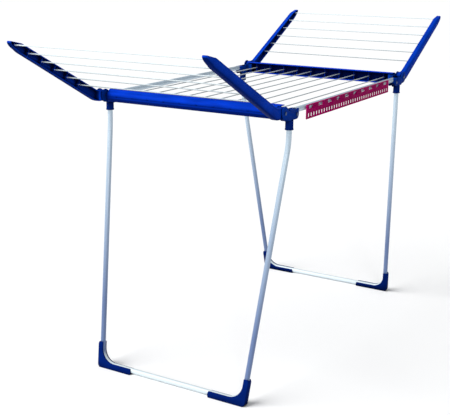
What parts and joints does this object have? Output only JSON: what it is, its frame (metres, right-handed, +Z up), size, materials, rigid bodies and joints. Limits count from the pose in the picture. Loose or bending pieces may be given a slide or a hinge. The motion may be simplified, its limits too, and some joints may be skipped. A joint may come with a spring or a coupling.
{
  "type": "clothes drying rack",
  "caption": "Free-standing winged laundry airer: wire deck between moulded crossbars, fold-over wire wings, folding tubular legs and a clip-on strip for small items.",
  "frame": {"origin": "on the floor, under the middle of the deck", "axes": "+X across the width to the side with the small-items strip, +Y along the length to the rear wing, +Z up"},
  "size_m": [0.5626, 1.4902, 0.905],
  "materials": {
    "crossbar_plastic": "satin cobalt-blue moulded plastic",
    "bracket_plastic": "satin navy-blue moulded plastic",
    "arm_plastic": "satin blue moulded plastic",
    "leg_fitting_plastic": "dark navy moulded plastic",
    "tube_paint": "pale blue-white powder-coated steel tube",
    "wire_coating": "white coated steel wire",
    "pin_steel": "zinc-plated steel rivet pins",
    "strip_plastic": "crimson moulded plastic"
  },
  "bodies": {
    "deck": {"front_crossbar": "crossbar_plastic", "rear_crossbar": "crossbar_plastic", "left_rail": "tube_paint", "right_rail": "tube_paint", "front_left_bracket": "bracket_plastic", "front_right_bracket": "bracket_plastic", "rear_left_bracket": "bracket_plastic", "rear_right_bracket": "bracket_plastic", "deck_wire_1": "wire_coating", "deck_wire_2": "wire_coating", "deck_wire_3": "wire_coating", "deck_wire_4": "wire_coating", "deck_wire_5": "wire_coating", "deck_wire_6": "wire_coating", "deck_wire_7": "wire_coating", "deck_wire_8": "wire_coating", "deck_wire_9": "wire_coating", "deck_wire_10": "wire_coating", "wing_pins": "pin_steel", "leg_pins": "pin_steel"},
    "front_leg": {"front_leg_tube": "tube_paint", "front_left_leg_socket": "leg_fitting_plastic", "front_right_leg_socket": "leg_fitting_plastic", "front_left_foot": "leg_fitting_plastic", "front_right_foot": "leg_fitting_plastic"},
    "rear_leg": {"rear_leg_tube": "tube_paint", "rear_left_leg_socket": "leg_fitting_plastic", "rear_right_leg_socket": "leg_fitting_plastic", "rear_left_foot": "leg_fitting_plastic", "rear_right_foot": "leg_fitting_plastic"},
    "front_wing": {"front_left_wing_arm": "arm_plastic", "front_right_wing_arm": "arm_plastic", "front_wing_wire_1": "wire_coating", "front_wing_wire_2": "wire_coating", "front_wing_wire_3": "wire_coating", "front_wing_wire_4": "wire_coating", "front_wing_wire_5": "wire_coating", "front_wing_wire_6": "wire_coating"},
    "rear_wing": {"rear_left_wing_arm": "arm_plastic", "rear_right_wing_arm": "arm_plastic", "rear_wing_wire_1": "wire_coating", "rear_wing_wire_2": "wire_coating", "rear_wing_wire_3": "wire_coating", "rear_wing_wire_4": "wire_coating", "rear_wing_wire_5": "wire_coating", "rear_wing_wire_6": "wire_coating"},
    "strip": {"holder_strip": "strip_plastic"}
  },
  "joints": [
    {"name": "front_leg_fold", "type": "hinge", "parent": "deck", "child": "front_leg", "pos_m": [0, -0.339, 0.728], "axis": [1, 0, 0], "range_deg": [0, 97]},
    {"name": "rear_leg_fold", "type": "hinge", "parent": "deck", "child": "rear_leg", "pos_m": [0, 0.339, 0.728], "axis": [-1, 0, 0], "range_deg": [0, 100]},
    {"name": "front_wing_fold", "type": "hinge", "parent": "deck", "child": "front_wing", "pos_m": [0, -0.4, 0.738], "axis": [-1, 0, 0], "range_deg": [0, 146]},
    {"name": "rear_wing_fold", "type": "hinge", "parent": "deck", "child": "rear_wing", "pos_m": [0, 0.4, 0.738], "axis": [1, 0, 0], "range_deg": [0, 146]},
    {"name": "strip_swing", "type": "hinge", "parent": "deck", "child": "strip", "pos_m": [0.267, 0, 0.736], "axis": [0, -1, 0], "range_deg": [0, 90]}
  ]
}
